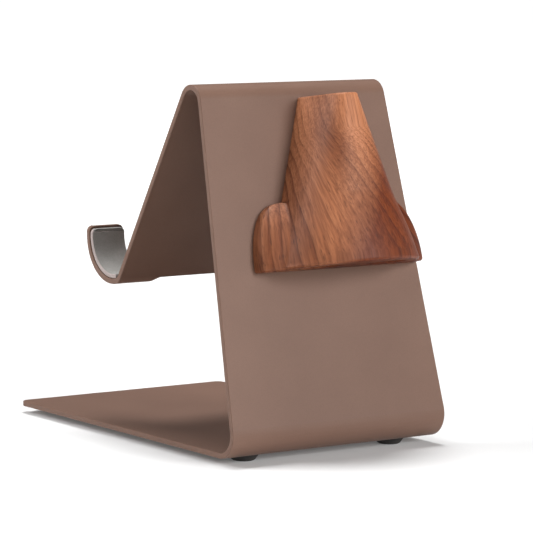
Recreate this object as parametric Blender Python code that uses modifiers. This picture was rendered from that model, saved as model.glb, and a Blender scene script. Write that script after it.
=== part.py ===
"""Display stand for eyeglasses: one bent steel sheet with a carved wooden nose on its front panel.

The sheet forms the base, the front panel, the back panel and two hook tabs that hold a phone.
Frame: +X to the right seen from the front, +Y to the back, +Z up, origin on the table under the middle
of the object's box. Lengths are in metres.
"""

import math

import bmesh
import bpy
from mathutils import Matrix, Vector

MM = 0.001

# Driving dimensions of the sheet
WIDTH = 92 * MM
HEIGHT = 130.6 * MM
BASE_DEPTH = 146.4 * MM
SHEET = 2 * MM
TOP_WIDTH_RATIO = 0.87
HOOK_WIDTH_RATIO = 0.935
FRONT_LEAN = math.radians(14.9)
BACK_LEAN = math.radians(29.0)
FRONT_BEND_RADIUS = 8.8 * MM
TOP_BEND_RADIUS = 6.8 * MM
BACK_PANEL_LENGTH = 77.7 * MM
HOOK_CORNER_RADIUS = 2.5 * MM
HOOK_CORNER_TURN = math.radians(49)
HOOK_RADIUS = 15 * MM
HOOK_TURN = math.radians(105)
HOOK_TIP_LENGTH = 2.1 * MM
TAB_WIDTH = 14.7 * MM
GAP_DEPTH_PAST_BEND = 0.6 * MM
BASE_CORNER_RADIUS = 3 * MM
TAB_CORNER_RADIUS = 2 * MM
GAP_CORNER_RADIUS = 4 * MM
BEND_STEP = math.radians(9)

# Wooden nose, in the front panel's own frame: x across, s up the panel, p out of it
NOSE_OFFSET = 7.6 * MM
NOSE_BOTTOM = 53.5 * MM
NOSE_TOP = 115.4 * MM
NOSE_TOP_SLOPE = 0.13
NOSE_BOTTOM_SLOPE = 0.055
NOSE_BACKING = 2.5 * MM
RIDGE_HALF_WIDTHS = (28.9 * MM, 6.2 * MM)
RIDGE_DEPTHS = (22.6 * MM, 21 * MM)
RIDGE_ROUNDNESS = (1.9, 3.0)
WING_TOP = 77.6 * MM
WING_HALF_WIDTH = 35.2 * MM
WING_DEPTH = 11 * MM
WING_ROUNDNESS = 2.2
WING_ROWS = 9
RIDGE_ROWS = 11
ARCH_STEPS = 28

# Fixings, feet and pads
FIT_GAP = 0.3 * MM
SCREW_HEIGHTS = {"lower": 66 * MM, "upper": 99 * MM}
SCREW_SHANK_RADIUS = 1.75 * MM
SCREW_HEAD_RADIUS = 3.6 * MM
SCREW_HEAD_HEIGHT = 2 * MM
SCREW_LENGTH = 12 * MM
SOCKET_RADIUS = 1.2 * MM
WASHER_RADIUS = 4.6 * MM
WASHER_THICKNESS = 0.8 * MM
FOOT_HEIGHT = 2.6 * MM
FOOT_TOP_RADIUS = 5.6 * MM
FOOT_BOTTOM_RADIUS = 4 * MM
FOOT_INSET_X = 14.2 * MM
FOOT_FRONT_Y = 14.6 * MM
FOOT_REAR_INSET = 13 * MM
PAD_THICKNESS = 1.6 * MM
PAD_TIP_MARGIN = 0.8 * MM
PAD_SIDE_MARGIN = 0.4 * MM

# The front panel starts where the front bend ends
PANEL_LENGTH = (
    HEIGHT
    - FOOT_HEIGHT
    - TOP_BEND_RADIUS * (1 - math.sin(FRONT_LEAN))
    - FRONT_BEND_RADIUS * (1 + math.sin(FRONT_LEAN))
) / math.cos(FRONT_LEAN)
PANEL_UP = Vector((0, math.sin(FRONT_LEAN), math.cos(FRONT_LEAN)))
PANEL_OUT = Vector((0, -math.cos(FRONT_LEAN), math.sin(FRONT_LEAN)))

# The ridge's half width where the wings end
SHOULDER_HALF_WIDTH = RIDGE_HALF_WIDTHS[0] + (RIDGE_HALF_WIDTHS[1] - RIDGE_HALF_WIDTHS[0]) * (
    (WING_TOP - NOSE_BOTTOM) / (NOSE_TOP - NOSE_BOTTOM)
)

# The nose's farthest rise above its backing, where its ridge and wings run together
NOSE_TIP_RISE = math.hypot(RIDGE_DEPTHS[0], WING_DEPTH)

# Y is first measured from the foremost point of the front bend, and shifted so that the origin
# lies under the middle of the box that the nose's tip and the base's rear edge span
PANEL_START_Y = FRONT_BEND_RADIUS * (1 - math.cos(FRONT_LEAN))
NOSE_TIP_OUT = NOSE_BACKING + NOSE_TIP_RISE + FIT_GAP
NOSE_TIP_Y = (
    PANEL_START_Y
    + (NOSE_BOTTOM - NOSE_BOTTOM_SLOPE * NOSE_TIP_OUT) * PANEL_UP.y
    + NOSE_TIP_OUT * PANEL_OUT.y
)
SHIFT_Y = -(NOSE_TIP_Y + BASE_DEPTH) / 2
PANEL_START = Vector(
    (
        0,
        PANEL_START_Y + SHIFT_Y,
        FOOT_HEIGHT + FRONT_BEND_RADIUS * (1 + math.sin(FRONT_LEAN)),
    )
)
PANEL_FRAME = Matrix.Translation(PANEL_START) @ Matrix(
    (Vector((1, 0, 0)), PANEL_UP, PANEL_OUT)
).transposed().to_4x4()


def clear_scene():
    for found in list(bpy.data.objects):
        bpy.data.objects.remove(found)


def new_collection(name, hidden=False):
    made = bpy.data.collections.new(name)
    bpy.context.scene.collection.children.link(made)
    made.hide_render = hidden
    return made


def principled(name, colour, roughness, metallic=0.0):
    made = bpy.data.materials.new(name)
    made.use_nodes = True
    shader = made.node_tree.nodes["Principled BSDF"]
    shader.inputs["Base Color"].default_value = (*colour, 1)
    shader.inputs["Roughness"].default_value = roughness
    shader.inputs["Metallic"].default_value = metallic
    made.diffuse_color = (*colour, 1)
    return made


def add_part(name, mesh, material, collection):
    part = bpy.data.objects.new(name, mesh)
    collection.objects.link(part)
    if material:
        mesh.materials.clear()
        mesh.materials.append(material)
    return part


def add_cutter(name, mesh, collection, matrix):
    cutter = add_part(name, mesh, None, collection)
    cutter.matrix_world = matrix
    cutter.hide_render = True
    cutter.display_type = "WIRE"
    return cutter


def cut(part, cutter):
    boolean = part.modifiers.new("cut " + cutter.name, "BOOLEAN")
    boolean.operation = "DIFFERENCE"
    boolean.solver = "EXACT"
    boolean.object = cutter


def smooth_by_angle(part, degrees=30):
    part.data.shade_smooth()
    part.data.set_sharp_from_angle(angle=math.radians(degrees))


def mesh_of_curve(curve, name):
    """The filled or extruded mesh of a curve, with its doubled points welded. The curve is removed."""
    holder = bpy.data.objects.new(name, curve)
    bpy.context.scene.collection.objects.link(holder)
    graph = bpy.context.evaluated_depsgraph_get()
    mesh = bpy.data.meshes.new_from_object(holder.evaluated_get(graph))
    mesh.name = name
    work = bmesh.new()
    work.from_mesh(mesh)
    bmesh.ops.remove_doubles(work, verts=work.verts, dist=1e-6)
    work.to_mesh(mesh)
    work.free()
    bpy.data.objects.remove(holder)
    bpy.data.curves.remove(curve)
    return mesh


def flat_curve(name, outlines, closed=True, extrude=0.0):
    """A 2D curve of straight-sided splines through the outlines' points."""
    curve = bpy.data.curves.new(name, "CURVE")
    curve.dimensions = "2D"
    curve.fill_mode = "BOTH"
    curve.extrude = extrude
    for outline in outlines:
        spline = curve.splines.new("POLY")
        spline.points.add(len(outline) - 1)
        for point, (x, y) in zip(spline.points, outline):
            point.co = (x, y, 0, 1)
        spline.use_cyclic_u = closed
    return curve


def circle_outline(x, y, radius, steps=24):
    turn = math.tau / steps
    return [
        (x + radius * math.cos(i * turn), y + radius * math.sin(i * turn))
        for i in range(steps)
    ]


def rounded_outline(corners, steps=6):
    """Points of a polygon whose corners (x, y, radius) are rounded by arcs."""
    outline = []
    for i, (x, y, radius) in enumerate(corners):
        here = Vector((x, y))
        before = (Vector(corners[i - 1][:2]) - here).normalized()
        after = (Vector(corners[(i + 1) % len(corners)][:2]) - here).normalized()
        if radius == 0:
            outline.append((x, y))
            continue
        half = before.angle(after) / 2
        centre = here + (before + after).normalized() * (radius / math.sin(half))
        start = here + before * (radius / math.tan(half)) - centre
        end = here + after * (radius / math.tan(half)) - centre
        sweep = start.angle_signed(end)
        for k in range(steps + 1):
            turned = Matrix.Rotation(-sweep * k / steps, 2) @ start
            outline.append(tuple(centre + turned))
    return outline


def walk(start, heading, moves):
    """Follows straights and bends in the side plane and returns its stations (length, y, z).

    A move is ("straight", length) or ("bend", angle, radius), where a positive angle turns left.
    """
    point = Vector(start)
    length = 0.0
    stations = [(length, point.x, point.y)]
    for move in moves:
        if move[0] == "straight":
            point = point + move[1] * Vector((math.cos(heading), math.sin(heading)))
            length += move[1]
            stations.append((length, point.x, point.y))
            continue
        _, angle, radius = move
        side = math.copysign(1, angle)
        count = math.ceil(abs(angle) / BEND_STEP)
        centre = point + side * radius * Vector((-math.sin(heading), math.cos(heading)))
        for k in range(1, count + 1):
            now = heading + angle * k / count
            point = centre + side * radius * Vector((math.sin(now), -math.cos(now)))
            stations.append((length + radius * abs(angle) * k / count, point.x, point.y))
        length += radius * abs(angle)
        heading += angle
    return stations


def sheet_path():
    """Stations of the sheet's middle surface, and the lengths where its flats and bends end."""
    half = SHEET / 2
    front_turn = math.radians(90) + FRONT_LEAN
    top_turn = math.radians(180) - FRONT_LEAN - BACK_LEAN
    moves = [
        ("straight", BASE_DEPTH - FRONT_BEND_RADIUS),
        ("bend", -front_turn, FRONT_BEND_RADIUS - half),
        ("straight", PANEL_LENGTH),
        ("bend", -top_turn, TOP_BEND_RADIUS - half),
        ("straight", BACK_PANEL_LENGTH),
        ("bend", HOOK_CORNER_TURN, HOOK_CORNER_RADIUS + half),
        ("bend", HOOK_TURN, HOOK_RADIUS + half),
        ("straight", HOOK_TIP_LENGTH),
    ]
    ends = [0.0]
    for move in moves:
        travelled = move[1] if move[0] == "straight" else abs(move[1]) * move[2]
        ends.append(ends[-1] + travelled)
    start = (BASE_DEPTH + SHIFT_Y, FOOT_HEIGHT + half)
    return walk(start, math.pi, moves), ends


def blank_outline(ends):
    """The flat blank that the sheet is cut to before bending: x across, y along the sheet."""
    _, _, panel_start, panel_end, back_start, hook_start, _, _, tip = ends
    wide = WIDTH / 2
    narrow = wide * TOP_WIDTH_RATIO
    hook = wide * HOOK_WIDTH_RATIO
    tab_inner = hook - TAB_WIDTH
    right_side = [
        (wide, 0, BASE_CORNER_RADIUS),
        (wide, panel_start, 0),
        (narrow, panel_end, 0),
        (narrow, back_start, 0),
        (hook, hook_start, 0),
        (hook, tip, TAB_CORNER_RADIUS),
        (tab_inner, tip, TAB_CORNER_RADIUS),
        (tab_inner, hook_start + GAP_DEPTH_PAST_BEND, GAP_CORNER_RADIUS),
    ]
    left_side = [(-x, y, radius) for x, y, radius in reversed(right_side)]
    return rounded_outline(right_side + left_side)


def bend_to_path(mesh, stations):
    """Cuts the flat mesh across at every station, then lays it along the path."""
    work = bmesh.new()
    work.from_mesh(mesh)
    for length, _, _ in stations[1:-1]:
        bmesh.ops.bisect_plane(
            work,
            geom=work.verts[:] + work.edges[:] + work.faces[:],
            dist=1e-7,
            plane_co=(0, length, 0),
            plane_no=(0, 1, 0),
        )
    for vert in work.verts:
        for (s0, y0, z0), (s1, y1, z1) in zip(stations, stations[1:]):
            if vert.co.y <= s1 or s1 == stations[-1][0]:
                share = (vert.co.y - s0) / (s1 - s0)
                vert.co = (vert.co.x, y0 + (y1 - y0) * share, z0 + (z1 - z0) * share)
                break
    bmesh.ops.dissolve_limit(
        work, angle_limit=math.radians(0.2), verts=work.verts, edges=work.edges
    )
    work.to_mesh(mesh)
    work.free()


def thicken(part, thickness):
    solid = part.modifiers.new("thickness", "SOLIDIFY")
    solid.thickness = thickness
    solid.offset = 0
    solid.use_even_offset = True
    solid.use_quality_normals = True


def make_bent_sheet(material, collection):
    stations, ends = sheet_path()
    holes = [
        circle_outline(NOSE_OFFSET, ends[2] + s, SCREW_SHANK_RADIUS + FIT_GAP)
        for s in SCREW_HEIGHTS.values()
    ]
    mesh = mesh_of_curve(flat_curve("blank", [blank_outline(ends), *holes]), "bent_sheet")
    bend_to_path(mesh, stations)
    sheet = add_part("bent_sheet", mesh, material, collection)
    thicken(sheet, SHEET)
    return stations, ends


def blend(pair, share):
    return pair[0] + (pair[1] - pair[0]) * share


def hump(x, half_width, depth, roundness):
    """Height at x of a superellipse arch, and 0 outside it."""
    share = min(abs(x) / half_width, 1)
    return depth * (1 - share**roundness) ** (1 / roundness)


def nose_row(s, wing_share):
    """Points of the nose's outer line at height s, from its right edge over the ridge to its left edge.

    The ridge runs all the way up. The wings are a lower and wider arch, which shrinks to nothing as
    wing_share goes from 0 at the nose's bottom to 1 at their top.
    """
    share = (s - NOSE_BOTTOM) / (NOSE_TOP - NOSE_BOTTOM)
    ridge_half = blend(RIDGE_HALF_WIDTHS, share)
    ridge_depth = blend(RIDGE_DEPTHS, share)
    ridge_roundness = blend(RIDGE_ROUNDNESS, share)
    remaining = max(1 - wing_share**2, 0)
    half = ridge_half
    if wing_share < 1:
        half = SHOULDER_HALF_WIDTH + (WING_HALF_WIDTH - SHOULDER_HALF_WIDTH) * remaining**0.34
    wing_depth = WING_DEPTH * remaining**0.75
    cut_back = NOSE_TOP_SLOPE * max(s - WING_TOP, 0) / (NOSE_TOP - WING_TOP)
    cut_back += NOSE_BOTTOM_SLOPE * max(WING_TOP - s, 0) / (WING_TOP - NOSE_BOTTOM)
    points = [(NOSE_OFFSET + half, s, FIT_GAP)]
    for k in range(ARCH_STEPS + 1):
        x = half * math.cos(math.pi * k / ARCH_STEPS)
        ridge = hump(x, ridge_half, ridge_depth, ridge_roundness)
        wing = hump(x, half, wing_depth, WING_ROUNDNESS)
        out = FIT_GAP + NOSE_BACKING + math.hypot(ridge, wing)
        points.append((NOSE_OFFSET + x, s - cut_back * out, out))
    points.append((NOSE_OFFSET - half, s, FIT_GAP))
    return points


def nose_rows():
    """The nose's rows from its bottom to its top, packed closer where the wings' shoulders turn in."""
    rows = []
    for k in range(WING_ROWS + 1):
        wing_share = math.sin(math.pi / 2 * k / WING_ROWS)
        rows.append(nose_row(blend((NOSE_BOTTOM, WING_TOP), wing_share), wing_share))
    for k in range(1, RIDGE_ROWS + 1):
        rows.append(nose_row(blend((WING_TOP, NOSE_TOP), k / RIDGE_ROWS), 1))
    return rows


def make_nose(material, collection, cutters):
    work = bmesh.new()
    rows = [[work.verts.new(point) for point in row] for row in nose_rows()]
    for low, high in zip(rows, rows[1:]):
        for j in range(-1, len(low) - 1):
            work.faces.new((low[j], high[j], high[j + 1], low[j + 1]))
    work.faces.new(rows[0])
    work.faces.new(reversed(rows[-1]))
    bmesh.ops.recalc_face_normals(work, faces=work.faces)
    mesh = bpy.data.meshes.new("nose_block")
    work.to_mesh(mesh)
    work.free()
    nose = add_part("nose_block", mesh, material, collection)
    nose.matrix_world = PANEL_FRAME
    smooth_by_angle(nose, 50)
    for label, s in SCREW_HEIGHTS.items():
        hole = cylinder_mesh(
            "pilot_hole_" + label, SCREW_SHANK_RADIUS + FIT_GAP, 2 * SCREW_LENGTH
        )
        place = PANEL_FRAME @ Matrix.Translation((NOSE_OFFSET, s, 0))
        cut(nose, add_cutter("pilot_hole_" + label, hole, cutters, place))


def cylinder_mesh(name, radius, height, sides=24, top_radius=None):
    """A cylinder or cone about Z, centred on its origin."""
    work = bmesh.new()
    bmesh.ops.create_cone(
        work,
        cap_ends=True,
        segments=sides,
        radius1=radius,
        radius2=radius if top_radius is None else top_radius,
        depth=height,
    )
    mesh = bpy.data.meshes.new(name)
    work.to_mesh(mesh)
    work.free()
    return mesh


def turned_part(name, profile, closed, material, collection, matrix):
    """A profile (radius, height), running down its outer side, turned about Z."""
    mesh = bpy.data.meshes.new(name)
    edges = [(i, i + 1) for i in range(len(profile) - 1)]
    if closed:
        edges.append((len(profile) - 1, 0))
    mesh.from_pydata([(r, 0, z) for r, z in profile], edges, [])
    part = add_part(name, mesh, material, collection)
    part.matrix_world = matrix
    turn = part.modifiers.new("turn", "SCREW")
    turn.axis = "Z"
    turn.steps = 24
    turn.render_steps = 24
    turn.use_merge_vertices = True
    turn.merge_threshold = 1e-6
    turn.use_smooth_shade = True
    return part


def make_screw_and_washer(label, s, steel, collection, cutters):
    """The screw's tip points out of the panel, so its frame is turned over."""
    behind = -SHEET - FIT_GAP
    turned_over = Matrix.Rotation(math.pi, 4, "X")
    washer_place = PANEL_FRAME @ Matrix.Translation((NOSE_OFFSET, s, behind)) @ turned_over
    inner = SCREW_SHANK_RADIUS + FIT_GAP
    ring = [
        (WASHER_RADIUS, WASHER_THICKNESS),
        (WASHER_RADIUS, 0),
        (inner, 0),
        (inner, WASHER_THICKNESS),
    ]
    turned_part("nose_washer_" + label, ring, True, steel, collection, washer_place)
    seat = WASHER_THICKNESS + FIT_GAP
    tip = seat - SCREW_LENGTH
    head = [
        (SCREW_HEAD_RADIUS * math.sin(a), seat + SCREW_HEAD_HEIGHT * math.cos(a) ** 0.8)
        for a in (math.radians(angle) for angle in range(0, 90, 15))
    ]
    body = [
        *head,
        (SCREW_HEAD_RADIUS, seat),
        (SCREW_SHANK_RADIUS, seat),
        (SCREW_SHANK_RADIUS, tip + SCREW_SHANK_RADIUS),
        (0, tip),
    ]
    screw = turned_part(
        "nose_screw_" + label, body, False, steel, collection, washer_place
    )
    socket = cylinder_mesh("socket_" + label, SOCKET_RADIUS, SCREW_HEAD_HEIGHT, sides=6)
    top = washer_place @ Matrix.Translation((0, 0, seat + SCREW_HEAD_HEIGHT))
    cut(screw, add_cutter("socket_" + label, socket, cutters, top))


def make_feet(material, collection):
    reach = WIDTH / 2 - FOOT_INSET_X
    front = FOOT_FRONT_Y + SHIFT_Y
    rear = BASE_DEPTH - FOOT_REAR_INSET + SHIFT_Y
    height = FOOT_HEIGHT - FIT_GAP
    for depth_name, y in (("front", front), ("rear", rear)):
        for side_name, x in (("left", -reach), ("right", reach)):
            name = f"foot_{depth_name}_{side_name}"
            mesh = cylinder_mesh(name, FOOT_BOTTOM_RADIUS, height, 32, FOOT_TOP_RADIUS)
            foot = add_part(name, mesh, material, collection)
            foot.location = (x, y, height / 2)
            smooth_by_angle(foot)


def make_hook_pads(stations, ends, material, collection):
    """Linings on the inside of the hook's wide bend, from near its tip to the tight corner."""
    arc_start, arc_end, tip = ends[6:]
    inner = SHEET / 2 + FIT_GAP + PAD_THICKNESS / 2
    arc = [(y, z) for s, y, z in stations if arc_start - 1e-9 <= s <= arc_end + 1e-9]
    first, last = Vector(arc[0]), Vector(arc[-1])
    lean = BACK_LEAN + HOOK_CORNER_TURN
    into = Vector((math.cos(lean), math.sin(lean)))
    centre = first + into * (HOOK_RADIUS + SHEET / 2)
    shrink = 1 - inner / (HOOK_RADIUS + SHEET / 2)
    line = [tuple(centre + (Vector(point) - centre) * shrink) for point in arc]
    outward = (last - centre).normalized()
    along = Vector((-outward.y, outward.x))
    line.append(tuple(Vector(line[-1]) + along * (tip - arc_end - PAD_TIP_MARGIN)))
    pad_width = TAB_WIDTH - 2 * PAD_SIDE_MARGIN
    middle = WIDTH / 2 * HOOK_WIDTH_RATIO - TAB_WIDTH / 2
    side_plane = Matrix(((0, 0, 1), (1, 0, 0), (0, 1, 0))).to_4x4()
    for side_name, x in (("left", -middle), ("right", middle)):
        name = "hook_pad_" + side_name
        ribbon = flat_curve(name, [line], closed=False, extrude=pad_width / 2)
        mesh = mesh_of_curve(ribbon, name)
        pad = add_part(name, mesh, material, collection)
        pad.matrix_world = Matrix.Translation((x, 0, 0)) @ side_plane
        thicken(pad, PAD_THICKNESS)


def main():
    clear_scene()
    parts = new_collection("eyeglasses_display_stand")
    cutters = new_collection("cutters", hidden=True)
    coat = principled("powder_coat", (0.26, 0.165, 0.125), 0.55)
    wood = principled("nose_wood", (0.42, 0.16, 0.075), 0.45)
    rubber = principled("black_rubber", (0.02, 0.018, 0.016), 0.8)
    pad_grey = principled("grey_pad", (0.11, 0.11, 0.095), 0.85)
    steel = principled("zinc_steel", (0.55, 0.55, 0.56), 0.35, 1.0)
    stations, ends = make_bent_sheet(coat, parts)
    make_nose(wood, parts, cutters)
    for label, s in SCREW_HEIGHTS.items():
        make_screw_and_washer(label, s, steel, parts, cutters)
    make_feet(rubber, parts)
    make_hook_pads(stations, ends, pad_grey, parts)


main()
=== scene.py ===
"""The looks of the eyeglasses display stand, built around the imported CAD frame. Lengths are in metres."""

import math

import bmesh
import bpy
from mathutils import Matrix, Vector


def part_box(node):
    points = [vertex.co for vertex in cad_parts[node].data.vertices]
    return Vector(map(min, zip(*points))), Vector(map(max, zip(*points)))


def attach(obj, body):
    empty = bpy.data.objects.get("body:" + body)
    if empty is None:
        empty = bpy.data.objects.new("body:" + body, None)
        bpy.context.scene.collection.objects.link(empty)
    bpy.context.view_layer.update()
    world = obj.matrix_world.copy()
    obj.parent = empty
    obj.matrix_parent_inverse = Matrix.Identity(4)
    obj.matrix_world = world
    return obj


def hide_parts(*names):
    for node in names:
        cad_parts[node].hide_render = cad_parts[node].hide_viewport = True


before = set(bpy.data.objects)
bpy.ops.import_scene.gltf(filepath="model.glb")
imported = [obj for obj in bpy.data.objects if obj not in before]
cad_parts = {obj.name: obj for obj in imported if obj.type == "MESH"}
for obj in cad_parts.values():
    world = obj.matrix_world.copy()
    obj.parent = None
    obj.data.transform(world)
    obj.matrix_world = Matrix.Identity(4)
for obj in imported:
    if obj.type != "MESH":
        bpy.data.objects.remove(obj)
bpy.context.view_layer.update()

MM = 0.001
BODY = "root"

# The sheet: its box comes from the frame, and its bends are the design's own
SHEET_LOW, SHEET_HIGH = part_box("bent_sheet")
WIDTH = 92 * MM
BASE_DEPTH = SHEET_HIGH.y - SHEET_LOW.y
HEIGHT = SHEET_HIGH.z
FOOT_HEIGHT = SHEET_LOW.z
SHEET = 2 * MM
TOP_WIDTH_RATIO = 0.87
HOOK_WIDTH_RATIO = 0.935
FRONT_LEAN = math.radians(14.9)
BACK_LEAN = math.radians(29.0)
FRONT_BEND_RADIUS = 8.8 * MM
TOP_BEND_RADIUS = 6.8 * MM
BACK_PANEL_LENGTH = 77.7 * MM
HOOK_CORNER_RADIUS = 2.5 * MM
HOOK_CORNER_TURN = math.radians(49)
HOOK_RADIUS = 15 * MM
HOOK_TURN = math.radians(105)
HOOK_TIP_LENGTH = 2.1 * MM
TAB_WIDTH = 14.7 * MM
GAP_DEPTH_PAST_BEND = 0.6 * MM
BASE_CORNER_RADIUS = 3 * MM
TAB_CORNER_RADIUS = 2 * MM
GAP_CORNER_RADIUS = 4 * MM
BEND_STEP = math.radians(3)
EDGE_ROUND = 0.32 * MM
EDGE_ROUND_ANGLE = math.radians(50)
EDGE_ROUND_SEGMENTS = 3
EVEN_SHADING_WEIGHT = 80
CORNER_STEPS = 12
CIRCLE_STEPS = 48
TURNED_STEPS = 64
FLAT_ANGLE = math.radians(0.2)
CONTACT_GAP = 0.05 * MM
WELD = 1e-6
FINE_WELD = 1e-7
SAME_PLACE = 1e-9

# The nose, in the front panel's own frame: x across, s up the panel, p out of it
NOSE_LOW, NOSE_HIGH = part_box("nose_block")
NOSE_OFFSET = (NOSE_LOW.x + NOSE_HIGH.x) / 2
NOSE_BOTTOM = 53.5 * MM
NOSE_TOP = 115.4 * MM
NOSE_TOP_SLOPE = 0.13
NOSE_BOTTOM_SLOPE = 0.055
NOSE_BACKING = 2.5 * MM
RIDGE_HALF_WIDTHS = (28.9 * MM, 6.2 * MM)
RIDGE_DEPTHS = (22.6 * MM, 21 * MM)
RIDGE_ROUNDNESS = (1.9, 3.0)
WING_TOP = 77.6 * MM
WING_HALF_WIDTH = (NOSE_HIGH.x - NOSE_LOW.x) / 2
WING_DEPTH = 11 * MM
WING_ROUNDNESS = 2.2
WING_WIDTH_POWER = 0.34
WING_DEPTH_POWER = 0.75
WING_ROWS = 44
RIDGE_ROWS = 52
EDGE_ROWS = 6
PROFILE_STEPS = 360
NOSE_COLUMNS = 130
NOSE_EDGE_ROUND = 1.1 * MM
NOSTRIL_SPREAD = 13.5 * MM
NOSTRIL_OUT = 11 * MM
NOSTRIL_RADII = (8.5 * MM, 5.5 * MM)
NOSTRIL_DEPTH = 5 * MM
UNDERSIDE_STEPS = 26

# The wood's growth lines, and a darker, more saturated colour along the nose's lower right. That colour's
# edge is told by the place across the nose plus a wave, less a share of the height up the panel.
GRAIN_SPREAD_FROM = 55 * MM
GRAIN_SPREAD_TO = 100 * MM
GRAIN_SPREAD = 2.3
PITH_OFFSET = 4 * MM
RING_WIDTH = 2.1 * MM
RING_WANDER = 7 * MM
DARK_RIGHT_SLOPE = 0.6
DARK_RIGHT_WAVE = 12 * MM
DARK_RIGHT_FROM = -41 * MM
DARK_RIGHT_FULL = -24 * MM

# Fixings, feet and pads
SCREW_SHANK_RADIUS = 1.75 * MM
SCREW_HEAD_RADIUS = 3.6 * MM
SCREW_HEAD_HEIGHT = 2 * MM
SCREW_HEAD_RIM = 0.15 * MM
SCREW_DOME_POWER = 0.8
SCREW_LENGTH = 12 * MM
THREAD_PITCH = 0.9 * MM
THREAD_ROOT_RADIUS = 0.8 * SCREW_SHANK_RADIUS
THREAD_START = 0.6 * MM
SCREW_POINT_LENGTH = 2 * MM
SOCKET_RADIUS = 1.2 * MM
SOCKET_DEPTH = 1.2 * MM
WASHER_RADIUS = 4.6 * MM
WASHER_THICKNESS = 0.8 * MM
WASHER_CHAMFER = 0.12 * MM
CAD_FIT_GAP = 0.3 * MM
FOOT_TOP_RADIUS = 5.6 * MM
FOOT_BOTTOM_RADIUS = 4 * MM
FOOT_RIM = 0.15 * MM
FOOT_RIM_BAND = 0.2 * MM
FOOT_LOW_ROUND = 0.6 * MM
PAD_THICKNESS = 1.6 * MM
PAD_TIP_MARGIN = 0.8 * MM
PAD_CORNER_RADIUS = 1.8 * MM
PAD_EDGE_ROUND = 0.35 * MM

# The front panel starts where the front bend ends
PANEL_LENGTH = (
    HEIGHT
    - FOOT_HEIGHT
    - TOP_BEND_RADIUS * (1 - math.sin(FRONT_LEAN))
    - FRONT_BEND_RADIUS * (1 + math.sin(FRONT_LEAN))
) / math.cos(FRONT_LEAN)
PANEL_UP = Vector((0, math.sin(FRONT_LEAN), math.cos(FRONT_LEAN)))
PANEL_OUT = Vector((0, -math.cos(FRONT_LEAN), math.sin(FRONT_LEAN)))
PANEL_START = Vector(
    (
        0,
        SHEET_LOW.y + FRONT_BEND_RADIUS * (1 - math.cos(FRONT_LEAN)),
        FOOT_HEIGHT + FRONT_BEND_RADIUS * (1 + math.sin(FRONT_LEAN)),
    )
)
PANEL_FRAME = Matrix.Translation(PANEL_START) @ Matrix(
    (Vector((1, 0, 0)), PANEL_UP, PANEL_OUT)
).transposed().to_4x4()

# The camera looks past the stand's middle, from its front left. Its aim is measured from the front bend.
CAMERA_AZIMUTH = math.radians(-34.56)
CAMERA_ELEVATION = math.radians(6.52)
CAMERA_ROLL = math.radians(0.3)
CAMERA_TARGET = Vector((67.15 * MM, SHEET_LOW.y + 144.587 * MM, 49.54 * MM))
CAMERA_DISTANCE = 1.206
CAMERA_LENS_MM = 202.2
CAMERA_SENSOR_MM = 36
CAMERA_CLIP = (0.01, 50)

# Each lamp is a disk, with its name, place, aim, diameter and power
LAMPS = (
    ("key", (0.4, -1.45, 0.55), (0, 0, 0.06), 0.6, 20),
    ("side", (-1.3, 0.7, 1.1), (0, 0, 0.04), 1.1, 26),
    ("top", (0.1, 0.2, 1.6), (0, 0, 0), 0.8, 24),
)

# The sky dims upwards between two heights of the line of sight, and the floor glows more with distance
SKY_FADE_HEIGHTS = (0.05, 0.12)
SKY_STRENGTHS = (1.0, 0.08)
FLOOR_HALF_SIZE = 14
FLOOR_WHITE = 0.68
FLOOR_GLOW_REACH = (0.15, 1.6)
FLOOR_GLOW = (0.1, 0.95)


# ---------------------------------------------------------------- camera, light and floor


def make_camera():
    data = bpy.data.cameras.new("camera")
    data.lens = CAMERA_LENS_MM
    data.sensor_width = CAMERA_SENSOR_MM
    data.clip_start, data.clip_end = CAMERA_CLIP
    camera = bpy.data.objects.new("camera", data)
    bpy.context.scene.collection.objects.link(camera)
    level = math.cos(CAMERA_ELEVATION)
    back = Vector(
        (
            math.sin(CAMERA_AZIMUTH) * level,
            -math.cos(CAMERA_AZIMUTH) * level,
            math.sin(CAMERA_ELEVATION),
        )
    )
    camera.location = CAMERA_TARGET + back * CAMERA_DISTANCE
    turn = (-back).to_track_quat("-Z", "Y").to_matrix().to_4x4()
    roll = Matrix.Rotation(CAMERA_ROLL, 4, "Z")
    camera.rotation_euler = (turn @ roll).to_euler()
    bpy.context.scene.camera = camera


def add_lamp(name, place, aim, size, power):
    data = bpy.data.lights.new(name, "AREA")
    data.shape = "DISK"
    data.size = size
    data.energy = power
    lamp = bpy.data.objects.new(name, data)
    bpy.context.scene.collection.objects.link(lamp)
    lamp.location = place
    lamp.rotation_euler = (Vector(aim) - Vector(place)).to_track_quat("-Z", "Y").to_euler()


def map_range(tree, value, source_range, target_range):
    """A node that maps one range of the value onto another."""
    node = tree.nodes.new("ShaderNodeMapRange")
    tree.links.new(value, node.inputs["Value"])
    node.inputs["From Min"].default_value, node.inputs["From Max"].default_value = source_range
    node.inputs["To Min"].default_value, node.inputs["To Max"].default_value = target_range
    return node.outputs["Result"]


def make_sky():
    """White at the horizon, where the floor ends, and dim overhead."""
    world = bpy.data.worlds.new("studio")
    bpy.context.scene.world = world
    world.use_nodes = True
    tree = world.node_tree
    sky = tree.nodes["Background"]
    sky.inputs["Color"].default_value = (1, 1, 1, 1)
    direction = tree.nodes.new("ShaderNodeTexCoord")
    split = tree.nodes.new("ShaderNodeSeparateXYZ")
    tree.links.new(direction.outputs["Generated"], split.inputs[0])
    strength = map_range(tree, split.outputs[2], SKY_FADE_HEIGHTS, SKY_STRENGTHS)
    tree.links.new(strength, sky.inputs["Strength"])


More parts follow.
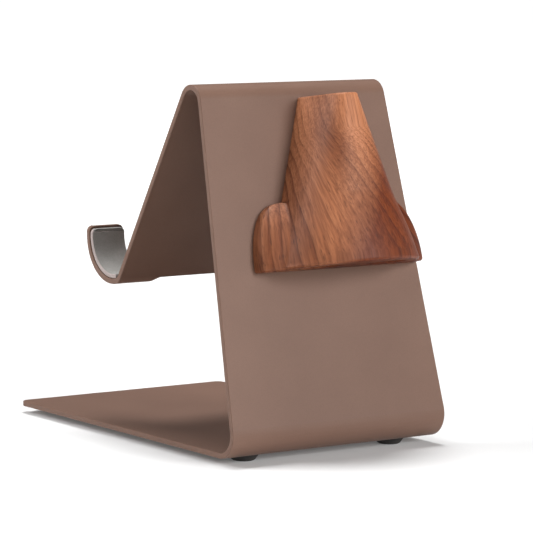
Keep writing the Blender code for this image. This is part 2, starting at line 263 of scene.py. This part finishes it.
def floor_white():
    """A white floor whose own glow grows with the distance, where the lamps no longer reach."""
    material = bpy.data.materials.new("floor_white")
    material.use_nodes = True
    tree = material.node_tree
    shader = tree.nodes["Principled BSDF"]
    shader.inputs["Base Color"].default_value = (FLOOR_WHITE, FLOOR_WHITE, FLOOR_WHITE, 1)
    shader.inputs["Roughness"].default_value = 1.0
    shader.inputs["Specular IOR Level"].default_value = 0.0
    shader.inputs["Emission Color"].default_value = (1, 1, 1, 1)
    place = tree.nodes.new("ShaderNodeTexCoord")
    reach = tree.nodes.new("ShaderNodeVectorMath")
    reach.operation = "LENGTH"
    tree.links.new(place.outputs["Object"], reach.inputs[0])
    glow = map_range(tree, reach.outputs["Value"], FLOOR_GLOW_REACH, FLOOR_GLOW)
    tree.links.new(glow, shader.inputs["Emission Strength"])
    return material


def make_studio():
    make_sky()
    for lamp in LAMPS:
        add_lamp(*lamp)
    floor_mesh = bpy.data.meshes.new("floor")
    work = bmesh.new()
    bmesh.ops.create_grid(work, x_segments=1, y_segments=1, size=FLOOR_HALF_SIZE)
    work.to_mesh(floor_mesh)
    work.free()
    floor = bpy.data.objects.new("floor", floor_mesh)
    bpy.context.scene.collection.objects.link(floor)
    floor_mesh.materials.append(floor_white())
    bpy.context.scene.view_settings.view_transform = "Standard"


# ---------------------------------------------------------------- materials


class Graph:
    """A Principled material and short calls that add its texture nodes."""

    def __init__(self, name, colour, roughness, metallic=0.0):
        self.material = bpy.data.materials.new(name)
        self.material.use_nodes = True
        self.material.diffuse_color = (*colour, 1)
        self.tree = self.material.node_tree
        self.shader = self.tree.nodes["Principled BSDF"]
        self.shader.inputs["Base Color"].default_value = (*colour, 1)
        self.shader.inputs["Roughness"].default_value = roughness
        self.shader.inputs["Metallic"].default_value = metallic
        self.place = self.add("ShaderNodeTexCoord").outputs["Object"]

    def add(self, kind, inputs=None, **settings):
        node = self.tree.nodes.new(kind)
        for key, value in settings.items():
            setattr(node, key, value)
        for key, value in (inputs or {}).items():
            if isinstance(value, bpy.types.NodeSocket):
                self.tree.links.new(value, node.inputs[key])
            else:
                node.inputs[key].default_value = value
        return node

    def link(self, output, socket_name):
        self.tree.links.new(output, self.shader.inputs[socket_name])

    def mapped(self, scale, source=None, rotation=(0, 0, 0), location=(0, 0, 0)):
        return self.add(
            "ShaderNodeMapping",
            {
                "Vector": source or self.place,
                "Scale": scale,
                "Rotation": rotation,
                "Location": location,
            },
        ).outputs["Vector"]

    def noise(self, vector, scale, detail=3.0, rough=0.5):
        inputs = {"Vector": vector, "Scale": scale, "Detail": detail, "Roughness": rough}
        return self.add("ShaderNodeTexNoise", inputs).outputs["Fac"]

    def math(self, operation, first, second=0.0):
        inputs = {0: first, 1: second}
        return self.add("ShaderNodeMath", inputs, operation=operation).outputs[0]

    def dot(self, direction):
        """The place's distance along a direction."""
        inputs = {0: self.place, 1: direction}
        return self.add("ShaderNodeVectorMath", inputs, operation="DOT_PRODUCT").outputs[1]

    def remap(self, value, low, high, new_low, new_high):
        return map_range(self.tree, value, (low, high), (new_low, new_high))

    def ramp(self, value, stops):
        """Colours along value, from (place, colour) stops."""
        node = self.add("ShaderNodeValToRGB", {"Fac": value})
        elements = node.color_ramp.elements
        while len(elements) < len(stops):
            elements.new(0.5)
        for element, (place, colour) in zip(elements, stops):
            element.position = place
            element.color = (*colour, 1)
        return node.outputs["Color"]

    def mix(self, share, first, second, blend="MIX"):
        node = self.add("ShaderNodeMix", data_type="RGBA", blend_type=blend)
        for key, value in (("Factor", share), ("A", first), ("B", second)):
            socket = next(
                s for s in node.inputs if s.name == key and s.enabled and not s.hide
            )
            if isinstance(value, bpy.types.NodeSocket):
                self.tree.links.new(value, socket)
            elif key == "Factor":
                socket.default_value = value
            else:
                socket.default_value = (*value, 1)
        return next(s for s in node.outputs if s.enabled)

    def bump(self, height, strength, distance, normal=None):
        inputs = {"Height": height, "Strength": strength, "Distance": distance}
        if normal:
            inputs["Normal"] = normal
        return self.add("ShaderNodeBump", inputs).outputs["Normal"]


def powder_coat():
    g = Graph("powder_coat", (0.165, 0.094, 0.068), 0.55)
    grain = g.noise(g.place, 2600, 2.0)
    blotch = g.noise(g.place, 55, 3.0)
    tone = g.mix(
        g.remap(blotch, 0.3, 0.7, 0.0, 1.0), (0.159, 0.090, 0.065), (0.171, 0.098, 0.071)
    )
    speck = g.ramp(grain, [(0.35, (0.94, 0.94, 0.94)), (0.62, (1.03, 1.03, 1.03))])
    g.link(g.mix(1.0, tone, speck, "MULTIPLY"), "Base Color")
    g.link(g.remap(grain, 0.3, 0.7, 0.42, 0.56), "Roughness")
    peel = g.noise(g.place, 420, 2.0)
    fine = g.bump(grain, 0.15, 0.04 * MM)
    g.link(g.bump(peel, 0.15, 0.05 * MM, fine), "Normal")
    g.shader.inputs["Specular IOR Level"].default_value = 0.22
    return g.material


def nose_wood():
    """Straight-grained hardwood whose growth lines spread towards the nose's wings."""
    g = Graph("nose_wood", (0.3, 0.104, 0.05), 0.55)
    to_panel = PANEL_FRAME.inverted()
    g.place = g.mapped(
        (1, 1, 1), rotation=to_panel.to_euler(), location=to_panel.translation
    )
    part = g.add("ShaderNodeSeparateXYZ", {"Vector": g.place})
    spread = g.remap(part.outputs[1], GRAIN_SPREAD_FROM, GRAIN_SPREAD_TO, GRAIN_SPREAD, 1.0)
    across = g.math("ADD", g.dot((0.86, 0.05, 0.5)), PITH_OFFSET)
    through = g.dot((-0.5, 0.0, 0.86))
    grain = g.add(
        "ShaderNodeCombineXYZ",
        {
            0: g.math("DIVIDE", across, spread),
            1: part.outputs[1],
            2: g.math("DIVIDE", through, spread),
        },
    ).outputs[0]
    wander = g.noise(g.mapped((60, 14, 60), grain), 1.0, 2.0)
    first = g.add("ShaderNodeSeparateXYZ", {"Vector": grain}).outputs[0]
    bent = g.math("ADD", first, g.math("MULTIPLY", wander, RING_WANDER))
    ring = g.math("FRACT", g.math("DIVIDE", bent, RING_WIDTH))
    rings = g.ramp(
        ring,
        [
            (0.0, (0.34, 0.128, 0.064)),
            (0.5, (0.31, 0.108, 0.051)),
            (0.82, (0.185, 0.054, 0.022)),
            (0.92, (0.125, 0.034, 0.013)),
            (1.0, (0.34, 0.128, 0.064)),
        ],
    )
    calm = g.noise(g.mapped((90, 10, 90), grain, location=(0.3, 0, 0)), 1.0, 2.0)
    colour = g.mix(g.remap(calm, 0.4, 0.62, 0.25, 1.0), (0.3, 0.104, 0.05), rings)
    broad = g.noise(g.mapped((42, 5, 42), grain, location=(0.7, 0, 0)), 1.0, 1.0)
    shade = g.ramp(broad, [(0.36, (0.6, 0.55, 0.46)), (0.62, (1.34, 1.5, 1.42))])
    colour = g.mix(1.0, colour, shade, "MULTIPLY")
    # Darker, more saturated colour over the nose's lower right, up to a wavy edge that leans with the
    # height
    edge = g.math("ADD", part.outputs[0], g.math("MULTIPLY", broad, DARK_RIGHT_WAVE))
    lean = g.math("ADD", edge, g.math("MULTIPLY", part.outputs[1], -DARK_RIGHT_SLOPE))
    darker_right_share = g.remap(lean, DARK_RIGHT_FROM, DARK_RIGHT_FULL, 0.0, 1.0)
    darker_right = g.mix(1.0, colour, (0.34, 0.17, 0.06), "MULTIPLY")
    colour = g.mix(darker_right_share, colour, darker_right)
    fibre = g.noise(g.mapped((2200, 60, 2200), grain), 1.0, 3.0, 0.65)
    streak = g.ramp(fibre, [(0.34, (0.7, 0.64, 0.6)), (0.64, (1.18, 1.18, 1.18))])
    colour = g.mix(1.0, colour, streak, "MULTIPLY")
    pores = g.noise(g.mapped((3400, 170, 3400), grain), 1.0, 1.0)
    pore = g.remap(pores, 0.64, 0.71, 0.0, 0.55)
    g.link(g.mix(pore, colour, (0.06, 0.02, 0.01)), "Base Color")
    g.link(g.remap(fibre, 0.3, 0.7, 0.66, 0.5), "Roughness")
    g.shader.inputs["Specular IOR Level"].default_value = 0.3
    height = g.math("SUBTRACT", fibre, pore)
    g.link(g.bump(height, 0.25, 0.06 * MM), "Normal")
    return g.material


def foot_rubber():
    g = Graph("black_rubber", (0.02, 0.018, 0.016), 0.75)
    dust = g.noise(g.place, 700, 3.0)
    g.link(g.ramp(dust, [(0.3, (0.014, 0.012, 0.011)), (0.7, (0.034, 0.03, 0.027))]), "Base Color")
    g.link(g.remap(dust, 0.3, 0.7, 0.62, 0.85), "Roughness")
    g.link(g.bump(dust, 0.3, 0.06 * MM), "Normal")
    return g.material


def pad_foam():
    g = Graph("grey_pad", (0.23, 0.225, 0.212), 0.9)
    cells = g.add(
        "ShaderNodeTexVoronoi", {"Vector": g.place, "Scale": 3300.0}
    ).outputs["Distance"]
    cloud = g.noise(g.place, 160, 3.0)
    tone = g.ramp(cloud, [(0.3, (0.205, 0.2, 0.188)), (0.7, (0.257, 0.25, 0.237))])
    # The faces that point sideways, the pad's long cut edges, are a paler, warmer grey
    facing = g.add(
        "ShaderNodeSeparateXYZ", {"Vector": g.add("ShaderNodeNewGeometry").outputs["Normal"]}
    )
    sideways = g.math("ABSOLUTE", facing.outputs[0])
    tone = g.mix(g.remap(sideways, 0.25, 0.75, 0.0, 1.0), tone, (0.36, 0.3, 0.285))
    pit = g.ramp(cells, [(0.0, (0.72, 0.72, 0.72)), (0.5, (1.08, 1.08, 1.08))])
    g.link(g.mix(1.0, tone, pit, "MULTIPLY"), "Base Color")
    g.link(g.remap(cloud, 0.3, 0.7, 0.82, 0.97), "Roughness")
    g.link(g.bump(cells, 0.5, 0.1 * MM), "Normal")
    return g.material


def zinc_steel():
    g = Graph("zinc_steel", (0.56, 0.56, 0.57), 0.32, 1.0)
    spin = g.noise(g.mapped((260, 260, 3200)), 1.0, 3.0)
    mottle = g.noise(g.place, 450, 2.0)
    g.link(
        g.ramp(mottle, [(0.3, (0.48, 0.48, 0.49)), (0.7, (0.64, 0.64, 0.64))]), "Base Color"
    )
    g.link(g.remap(spin, 0.3, 0.7, 0.22, 0.42), "Roughness")
    g.link(g.bump(spin, 0.15, 0.03 * MM), "Normal")
    return g.material


# ---------------------------------------------------------------- mesh helpers


def add_piece(name, mesh, material, node, matrix=None):
    """A finished piece that stands for a CAD node and rides on the one body."""
    mesh.materials.append(material)
    piece = bpy.data.objects.new(name, mesh)
    bpy.context.scene.collection.objects.link(piece)
    if matrix:
        piece.matrix_world = matrix
    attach(piece, BODY)
    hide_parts(node)
    return piece


def smooth(piece, degrees=35):
    piece.data.shade_smooth()
    piece.data.set_sharp_from_angle(angle=math.radians(degrees))


def round_edges(piece, width):
    bevel = piece.modifiers.new("rounded edges", "BEVEL")
    bevel.width = width
    bevel.segments = EDGE_ROUND_SEGMENTS
    bevel.limit_method = "ANGLE"
    bevel.angle_limit = EDGE_ROUND_ANGLE
    bevel.use_clamp_overlap = False
    even = piece.modifiers.new("even shading", "WEIGHTED_NORMAL")
    even.mode = "FACE_AREA_WITH_ANGLE"
    even.weight = EVEN_SHADING_WEIGHT


def apply_modifiers(piece):
    graph = bpy.context.evaluated_depsgraph_get()
    made = bpy.data.meshes.new_from_object(piece.evaluated_get(graph))
    piece.modifiers.clear()
    piece.data = made


def mesh_of_curve(curve, name):
    """The filled mesh of a curve, with its doubled points welded. The curve is removed."""
    holder = bpy.data.objects.new(name, curve)
    bpy.context.scene.collection.objects.link(holder)
    graph = bpy.context.evaluated_depsgraph_get()
    mesh = bpy.data.meshes.new_from_object(holder.evaluated_get(graph))
    mesh.name = name
    work = bmesh.new()
    work.from_mesh(mesh)
    bmesh.ops.remove_doubles(work, verts=work.verts, dist=WELD)
    work.to_mesh(mesh)
    work.free()
    bpy.data.objects.remove(holder)
    bpy.data.curves.remove(curve)
    return mesh


def flat_curve(name, outlines):
    """A filled 2D curve of closed, straight-sided splines through the outlines' points."""
    curve = bpy.data.curves.new(name, "CURVE")
    curve.dimensions = "2D"
    curve.fill_mode = "BOTH"
    for outline in outlines:
        spline = curve.splines.new("POLY")
        spline.points.add(len(outline) - 1)
        for point, (x, y) in zip(spline.points, outline):
            point.co = (x, y, 0, 1)
        spline.use_cyclic_u = True
    return curve


def circle_outline(x, y, radius):
    turn = math.tau / CIRCLE_STEPS
    return [
        (x + radius * math.cos(i * turn), y + radius * math.sin(i * turn))
        for i in range(CIRCLE_STEPS)
    ]


def rounded_outline(corners):
    """Points of a polygon whose corners (x, y, radius) are rounded by arcs."""
    outline = []
    for i, (x, y, radius) in enumerate(corners):
        here = Vector((x, y))
        before = (Vector(corners[i - 1][:2]) - here).normalized()
        after = (Vector(corners[(i + 1) % len(corners)][:2]) - here).normalized()
        if radius == 0:
            outline.append((x, y))
            continue
        half = before.angle(after) / 2
        centre = here + (before + after).normalized() * (radius / math.sin(half))
        start = here + before * (radius / math.tan(half)) - centre
        end = here + after * (radius / math.tan(half)) - centre
        sweep = start.angle_signed(end)
        for k in range(CORNER_STEPS + 1):
            turned = Matrix.Rotation(-sweep * k / CORNER_STEPS, 2) @ start
            outline.append(tuple(centre + turned))
    return outline


def walk(start, heading, moves):
    """Follows straights and bends in the side plane and returns its stations (length, y, z).

    A move is ("straight", length) or ("bend", angle, radius), where a positive angle turns left.
    """
    point = Vector(start)
    length = 0.0
    stations = [(length, point.x, point.y)]
    for move in moves:
        if move[0] == "straight":
            point = point + move[1] * Vector((math.cos(heading), math.sin(heading)))
            length += move[1]
            stations.append((length, point.x, point.y))
            continue
        _, angle, radius = move
        side = math.copysign(1, angle)
        count = math.ceil(abs(angle) / BEND_STEP)
        centre = point + side * radius * Vector((-math.sin(heading), math.cos(heading)))
        for k in range(1, count + 1):
            now = heading + angle * k / count
            point = centre + side * radius * Vector((math.sin(now), -math.cos(now)))
            stations.append((length + radius * abs(angle) * k / count, point.x, point.y))
        length += radius * abs(angle)
        heading += angle
    return stations


# ---------------------------------------------------------------- the sheet


def sheet_path():
    """Stations of the sheet's middle surface, and the lengths where its flats and bends end."""
    half = SHEET / 2
    front_turn = math.radians(90) + FRONT_LEAN
    top_turn = math.radians(180) - FRONT_LEAN - BACK_LEAN
    moves = [
        ("straight", BASE_DEPTH - FRONT_BEND_RADIUS),
        ("bend", -front_turn, FRONT_BEND_RADIUS - half),
        ("straight", PANEL_LENGTH),
        ("bend", -top_turn, TOP_BEND_RADIUS - half),
        ("straight", BACK_PANEL_LENGTH),
        ("bend", HOOK_CORNER_TURN, HOOK_CORNER_RADIUS + half),
        ("bend", HOOK_TURN, HOOK_RADIUS + half),
        ("straight", HOOK_TIP_LENGTH),
    ]
    ends = [0.0]
    for move in moves:
        travelled = move[1] if move[0] == "straight" else abs(move[1]) * move[2]
        ends.append(ends[-1] + travelled)
    start = (SHEET_HIGH.y, FOOT_HEIGHT + half)
    return walk(start, math.pi, moves), ends


def blank_outline(ends):
    """The flat blank that the sheet is cut to before bending: x across, y along the sheet."""
    _, _, panel_start, panel_end, back_start, hook_start, _, _, tip = ends
    wide = WIDTH / 2
    narrow = wide * TOP_WIDTH_RATIO
    hook = wide * HOOK_WIDTH_RATIO
    tab_inner = hook - TAB_WIDTH
    right_side = [
        (wide, 0, BASE_CORNER_RADIUS),
        (wide, panel_start, 0),
        (narrow, panel_end, 0),
        (narrow, back_start, 0),
        (hook, hook_start, 0),
        (hook, tip, TAB_CORNER_RADIUS),
        (tab_inner, tip, TAB_CORNER_RADIUS),
        (tab_inner, hook_start + GAP_DEPTH_PAST_BEND, GAP_CORNER_RADIUS),
    ]
    left_side = [(-x, y, radius) for x, y, radius in reversed(right_side)]
    return rounded_outline(right_side + left_side)


def bend_to_path(mesh, stations):
    """Cuts the flat mesh across at every station, then lays it along the path."""
    work = bmesh.new()
    work.from_mesh(mesh)
    for length, _, _ in stations[1:-1]:
        bmesh.ops.bisect_plane(
            work,
            geom=work.verts[:] + work.edges[:] + work.faces[:],
            dist=FINE_WELD,
            plane_co=(0, length, 0),
            plane_no=(0, 1, 0),
        )
    for vert in work.verts:
        for (s0, y0, z0), (s1, y1, z1) in zip(stations, stations[1:]):
            if vert.co.y <= s1 or s1 == stations[-1][0]:
                share = (vert.co.y - s0) / (s1 - s0)
                vert.co = (vert.co.x, y0 + (y1 - y0) * share, z0 + (z1 - z0) * share)
                break
    bmesh.ops.dissolve_limit(
        work, angle_limit=FLAT_ANGLE, verts=work.verts, edges=work.edges
    )
    work.to_mesh(mesh)
    work.free()


def thicken(piece, thickness):
    solid = piece.modifiers.new("thickness", "SOLIDIFY")
    solid.thickness = thickness
    solid.offset = 0
    solid.use_even_offset = True
    solid.use_quality_normals = True


def make_sheet(stations, ends, material):
    heights = [screw_height("lower"), screw_height("upper")]
    holes = [
        circle_outline(NOSE_OFFSET, ends[2] + s, SCREW_SHANK_RADIUS + CAD_FIT_GAP)
        for s in heights
    ]
    mesh = mesh_of_curve(flat_curve("blank", [blank_outline(ends), *holes]), "sheet")
    bend_to_path(mesh, stations)
    sheet = add_piece("sheet", mesh, material, "bent_sheet")
    mesh.shade_smooth()
    thicken(sheet, SHEET)
    round_edges(sheet, EDGE_ROUND)
    apply_modifiers(sheet)


# ---------------------------------------------------------------- the nose


def blend(pair, share):
    return pair[0] + (pair[1] - pair[0]) * share


def hump(x, half_width, depth, roundness):
    """Height at x of a superellipse arch, and 0 outside it."""
    share = min(abs(x) / half_width, 1)
    return depth * (1 - share**roundness) ** (1 / roundness)


def evenly(points, count):
    """The same open line with count points at equal distances along it."""
    lengths = [0.0]
    for a, b in zip(points, points[1:]):
        lengths.append(lengths[-1] + math.dist(a, b))
    spaced = []
    i = 0
    for k in range(count):
        goal = lengths[-1] * k / (count - 1)
        while i < len(points) - 2 and lengths[i + 1] < goal:
            i += 1
        span = lengths[i + 1] - lengths[i]
        share = (goal - lengths[i]) / span if span else 0
        spaced.append(tuple(a + (b - a) * share for a, b in zip(points[i], points[i + 1])))
    return spaced


def nose_profile(s, wing_share):
    """The nose's outer line (x, p) at height s, from its right edge over the ridge to its left edge.

    The ridge runs all the way up. The wings are a lower and wider arch, which shrinks to nothing as
    wing_share goes from 0 at the nose's bottom to 1 at their top.
    """
    share = (s - NOSE_BOTTOM) / (NOSE_TOP - NOSE_BOTTOM)
    ridge_half = blend(RIDGE_HALF_WIDTHS, share)
    ridge_depth = blend(RIDGE_DEPTHS, share)
    ridge_roundness = blend(RIDGE_ROUNDNESS, share)
    remaining = 1 - wing_share**2
    half = ridge_half
    if remaining > 0:
        shoulder_share = (WING_TOP - NOSE_BOTTOM) / (NOSE_TOP - NOSE_BOTTOM)
        shoulder = blend(RIDGE_HALF_WIDTHS, shoulder_share)
        half = blend((shoulder, WING_HALF_WIDTH), remaining**WING_WIDTH_POWER)
    wing_depth = WING_DEPTH * remaining**WING_DEPTH_POWER
    points = [(half, 0.0)]
    for k in range(PROFILE_STEPS + 1):
        x = half * math.cos(math.pi * k / PROFILE_STEPS)
        ridge = hump(x, ridge_half, ridge_depth, ridge_roundness)
        wing = hump(x, half, wing_depth, WING_ROUNDNESS)
        points.append((x, NOSE_BACKING + math.hypot(ridge, wing)))
    points.append((-half, 0.0))
    return evenly(points, NOSE_COLUMNS)


def nose_row(s, wing_share, inset=0.0, shift=0.0):
    """One row of the nose's surface, drawn in by inset and moved up by shift where an edge is rounded."""
    profile = nose_profile(s, wing_share)
    half = profile[0][0]
    peak = max(p for _, p in profile)
    cut_back = NOSE_TOP_SLOPE * max(s - WING_TOP, 0) / (NOSE_TOP - WING_TOP)
    cut_back += NOSE_BOTTOM_SLOPE * max(WING_TOP - s, 0) / (WING_TOP - NOSE_BOTTOM)
    row = []
    for x, p in profile:
        out = CONTACT_GAP + p * (1 - inset / peak)
        up = s + shift - cut_back * p
        row.append((NOSE_OFFSET + x * (1 - inset / half), up, out))
    return row


def nose_rows():
    """The nose's rows from its bottom to its top, with a rounded rim at both ends."""
    rim = [math.pi / 2 * k / EDGE_ROWS for k in range(EDGE_ROWS)]
    round_in = [NOSE_EDGE_ROUND * (1 - math.sin(a)) for a in rim]
    round_up = [NOSE_EDGE_ROUND * (1 - math.cos(a)) for a in rim]
    rows = [nose_row(NOSE_BOTTOM, 0, i, u) for i, u in zip(round_in, round_up)]
    for k in range(WING_ROWS + 1):
        wing_share = math.sin(math.pi / 2 * k / WING_ROWS)
        s = blend((NOSE_BOTTOM + NOSE_EDGE_ROUND, WING_TOP), wing_share)
        rows.append(nose_row(s, wing_share))
    for k in range(1, RIDGE_ROWS + 1):
        s = blend((WING_TOP, NOSE_TOP - NOSE_EDGE_ROUND), k / RIDGE_ROWS)
        rows.append(nose_row(s, 1))
    top = NOSE_TOP - NOSE_EDGE_ROUND
    for i, u in zip(reversed(round_in), reversed(round_up)):
        rows.append(nose_row(top, 1, i, NOSE_EDGE_ROUND - u))
    return rows


def nostril_depth(x, p):
    """How far the underside is hollowed at (x, p): a soft pit on each side of the middle."""
    across = (abs(x - NOSE_OFFSET) - NOSTRIL_SPREAD) / NOSTRIL_RADII[0]
    out = (p - NOSTRIL_OUT) / NOSTRIL_RADII[1]
    return NOSTRIL_DEPTH * max(1 - across**2 - out**2, 0) ** 1.5


def make_nose(material):
    work = bmesh.new()
    rows = [[work.verts.new(point) for point in row] for row in nose_rows()]
    for low, high in zip(rows, rows[1:]):
        for j in range(NOSE_COLUMNS - 1):
            work.faces.new((low[j], low[j + 1], high[j + 1], high[j]))
    # The underside runs from the rim back to the panel in columns
    columns = []
    for vert in rows[0]:
        x, s, p = vert.co
        column = [vert]
        for k in range(1, UNDERSIDE_STEPS + 1):
            out = blend((p, CONTACT_GAP), k / UNDERSIDE_STEPS)
            up = s + NOSE_BOTTOM_SLOPE * (p - out) + nostril_depth(x, out)
            column.append(work.verts.new((x, up, out)))
        columns.append(column)
    for right, left in zip(columns, columns[1:]):
        for k in range(UNDERSIDE_STEPS):
            work.faces.new((right[k], right[k + 1], left[k + 1], left[k]))
    edge = [column[-1] for column in columns]
    left_side = [row[-1] for row in rows[1:]]
    right_side = [row[0] for row in reversed(rows[1:])]
    work.faces.new(edge + left_side + right_side)
    work.faces.new(rows[-1])
    bmesh.ops.remove_doubles(work, verts=work.verts, dist=WELD)
    bmesh.ops.dissolve_degenerate(work, edges=work.edges, dist=WELD)
    bmesh.ops.recalc_face_normals(work, faces=work.faces)
    mesh = bpy.data.meshes.new("wooden_nose")
    work.to_mesh(mesh)
    work.free()
    mesh.transform(PANEL_FRAME)
    nose = add_piece("wooden_nose", mesh, material, "nose_block")
    smooth(nose, 50)


# ---------------------------------------------------------------- fixings, feet and pads


def turned_mesh(name, profile, closed=False):
    """A profile (radius, height), running down its outer side, turned about Z."""
    mesh = bpy.data.meshes.new(name)
    edges = [(i, i + 1) for i in range(len(profile) - 1)]
    if closed:
        edges.append((len(profile) - 1, 0))
    mesh.from_pydata([(r, 0, z) for r, z in profile], edges, [])
    work = bmesh.new()
    work.from_mesh(mesh)
    bmesh.ops.spin(
        work,
        geom=work.verts[:] + work.edges[:],
        axis=(0, 0, 1),
        cent=(0, 0, 0),
        angle=math.tau,
        steps=TURNED_STEPS,
        use_merge=True,
    )
    bmesh.ops.remove_doubles(work, verts=work.verts, dist=FINE_WELD)
    bmesh.ops.recalc_face_normals(work, faces=work.faces)
    work.to_mesh(mesh)
    work.free()
    return mesh


def cut_hexagon(piece, matrix, radius, height):
    """Cuts a six-sided hole about the matrix's Z, centred on its origin."""
    work = bmesh.new()
    bmesh.ops.create_cone(
        work, cap_ends=True, segments=6, radius1=radius, radius2=radius, depth=height
    )
    mesh = bpy.data.meshes.new("socket")
    work.to_mesh(mesh)
    work.free()
    cutter = bpy.data.objects.new("socket", mesh)
    bpy.context.scene.collection.objects.link(cutter)
    cutter.matrix_world = matrix
    hole = piece.modifiers.new("socket", "BOOLEAN")
    hole.operation = "DIFFERENCE"
    hole.solver = "EXACT"
    hole.object = cutter
    apply_modifiers(piece)
    bpy.data.objects.remove(cutter)


def screw_height(label):
    """How far up the panel the middle of a washer of the frame sits."""
    low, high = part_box("nose_washer_" + label)
    middle = (low + high) / 2
    return (middle - PANEL_START).dot(PANEL_UP)


def washer_profile():
    """The washer's cross-section with its four corners chamfered."""
    inner = SCREW_SHANK_RADIUS + CAD_FIT_GAP
    top = WASHER_THICKNESS
    chamfer = WASHER_CHAMFER
    return [
        (WASHER_RADIUS - chamfer, top),
        (WASHER_RADIUS, top - chamfer),
        (WASHER_RADIUS, chamfer),
        (WASHER_RADIUS - chamfer, 0),
        (inner + chamfer, 0),
        (inner, chamfer),
        (inner, top - chamfer),
        (inner + chamfer, top),
    ]


def screw_profile(seat):
    """The screw's outline, from the top of its domed head, which rests at seat, down to its point."""
    tip = seat - SCREW_LENGTH + CAD_FIT_GAP
    dome = [
        (
            SCREW_HEAD_RADIUS * math.sin(math.radians(angle)),
            seat + SCREW_HEAD_HEIGHT * math.cos(math.radians(angle)) ** SCREW_DOME_POWER,
        )
        for angle in range(0, 90, 6)
    ]
    thread = []
    level = seat - THREAD_START
    while level > tip + SCREW_POINT_LENGTH + THREAD_START:
        thread.append((THREAD_ROOT_RADIUS, level))
        thread.append((SCREW_SHANK_RADIUS, level - THREAD_PITCH / 2))
        level -= THREAD_PITCH
    return [
        *dome,
        (SCREW_HEAD_RADIUS, seat + SCREW_HEAD_RIM),
        (SCREW_HEAD_RADIUS - SCREW_HEAD_RIM, seat),
        (THREAD_ROOT_RADIUS, seat),
        *thread,
        (THREAD_ROOT_RADIUS, tip + SCREW_POINT_LENGTH),
        (0, tip),
    ]


def make_screw_and_washer(label, material):
    behind = -SHEET - CONTACT_GAP
    place = (
        PANEL_FRAME
        @ Matrix.Translation((NOSE_OFFSET, screw_height(label), behind))
        @ Matrix.Rotation(math.pi, 4, "X")
    )
    washer = add_piece(
        "washer_" + label,
        turned_mesh("washer_" + label, washer_profile(), closed=True),
        material,
        "nose_washer_" + label,
        matrix=place,
    )
    smooth(washer)
    seat = WASHER_THICKNESS + CONTACT_GAP
    screw = add_piece(
        "screw_" + label,
        turned_mesh("screw_" + label, screw_profile(seat)),
        material,
        "nose_screw_" + label,
        matrix=place,
    )
    top = place @ Matrix.Translation((0, 0, seat + SCREW_HEAD_HEIGHT))
    cut_hexagon(screw, top, SOCKET_RADIUS, 2 * SOCKET_DEPTH)
    smooth(screw)


def make_foot(label, material):
    node = "foot_" + label
    low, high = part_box(node)
    middle = (low + high) / 2
    top = FOOT_HEIGHT - CONTACT_GAP
    slope = (FOOT_TOP_RADIUS - FOOT_BOTTOM_RADIUS) / top
    low_round = []
    for angle in range(90, -1, -15):
        inset = FOOT_LOW_ROUND * (1 - math.sin(math.radians(angle)))
        height = FOOT_LOW_ROUND * (1 - math.cos(math.radians(angle)))
        low_round.append((FOOT_BOTTOM_RADIUS - inset + slope * height, height))
    profile = [
        (0, top),
        (FOOT_TOP_RADIUS - FOOT_RIM, top),
        (FOOT_TOP_RADIUS, top - FOOT_RIM),
        (FOOT_TOP_RADIUS, top - FOOT_RIM - FOOT_RIM_BAND),
        *low_round,
        (0, 0),
    ]
    foot = add_piece(
        "rubber_" + node,
        turned_mesh(node, profile),
        material,
        node,
        matrix=Matrix.Translation((middle.x, middle.y, 0)),
    )
    smooth(foot, 50)


def pad_path(stations, ends):
    """Stations of the pads' middle surface: inside the hook's wide bend, and on towards the tip."""
    arc_start, arc_end, tip = ends[6:]
    arc = [
        Vector((y, z))
        for length, y, z in stations
        if arc_start - SAME_PLACE <= length <= arc_end + SAME_PLACE
    ]
    lean = BACK_LEAN + HOOK_CORNER_TURN
    into = Vector((math.cos(lean), math.sin(lean)))
    radius = HOOK_RADIUS + SHEET / 2
    centre = arc[0] + into * radius
    shrink = 1 - (SHEET / 2 + CONTACT_GAP + PAD_THICKNESS / 2) / radius
    line = [centre + (point - centre) * shrink for point in arc]
    outward = (arc[-1] - centre).normalized()
    along = Vector((-outward.y, outward.x))
    line.append(line[-1] + along * (tip - arc_end - PAD_TIP_MARGIN))
    path = [(0.0, *line[0])]
    for a, b in zip(line, line[1:]):
        path.append((path[-1][0] + (b - a).length, *b))
    return path


def make_pad(label, path, material):
    """A foam lining on the inside of one hook tab."""
    node = "hook_pad_" + label
    low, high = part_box(node)
    length = path[-1][0]
    outline = rounded_outline(
        [
            (high.x, 0, 0),
            (high.x, length, PAD_CORNER_RADIUS),
            (low.x, length, PAD_CORNER_RADIUS),
            (low.x, 0, 0),
        ]
    )
    mesh = mesh_of_curve(flat_curve(node, [outline]), node)
    bend_to_path(mesh, path)
    pad = add_piece("foam_" + node, mesh, material, node)
    mesh.shade_smooth()
    thicken(pad, PAD_THICKNESS)
    round_edges(pad, PAD_EDGE_ROUND)
    apply_modifiers(pad)


def main():
    make_camera()
    make_studio()
    stations, ends = sheet_path()
    make_sheet(stations, ends, powder_coat())
    make_nose(nose_wood())
    steel = zinc_steel()
    for label in ("lower", "upper"):
        make_screw_and_washer(label, steel)
    rubber = foot_rubber()
    for label in ("front_left", "front_right", "rear_left", "rear_right"):
        make_foot(label, rubber)
    foam = pad_foam()
    path = pad_path(stations, ends)
    for label in ("left", "right"):
        make_pad(label, path, foam)


main()
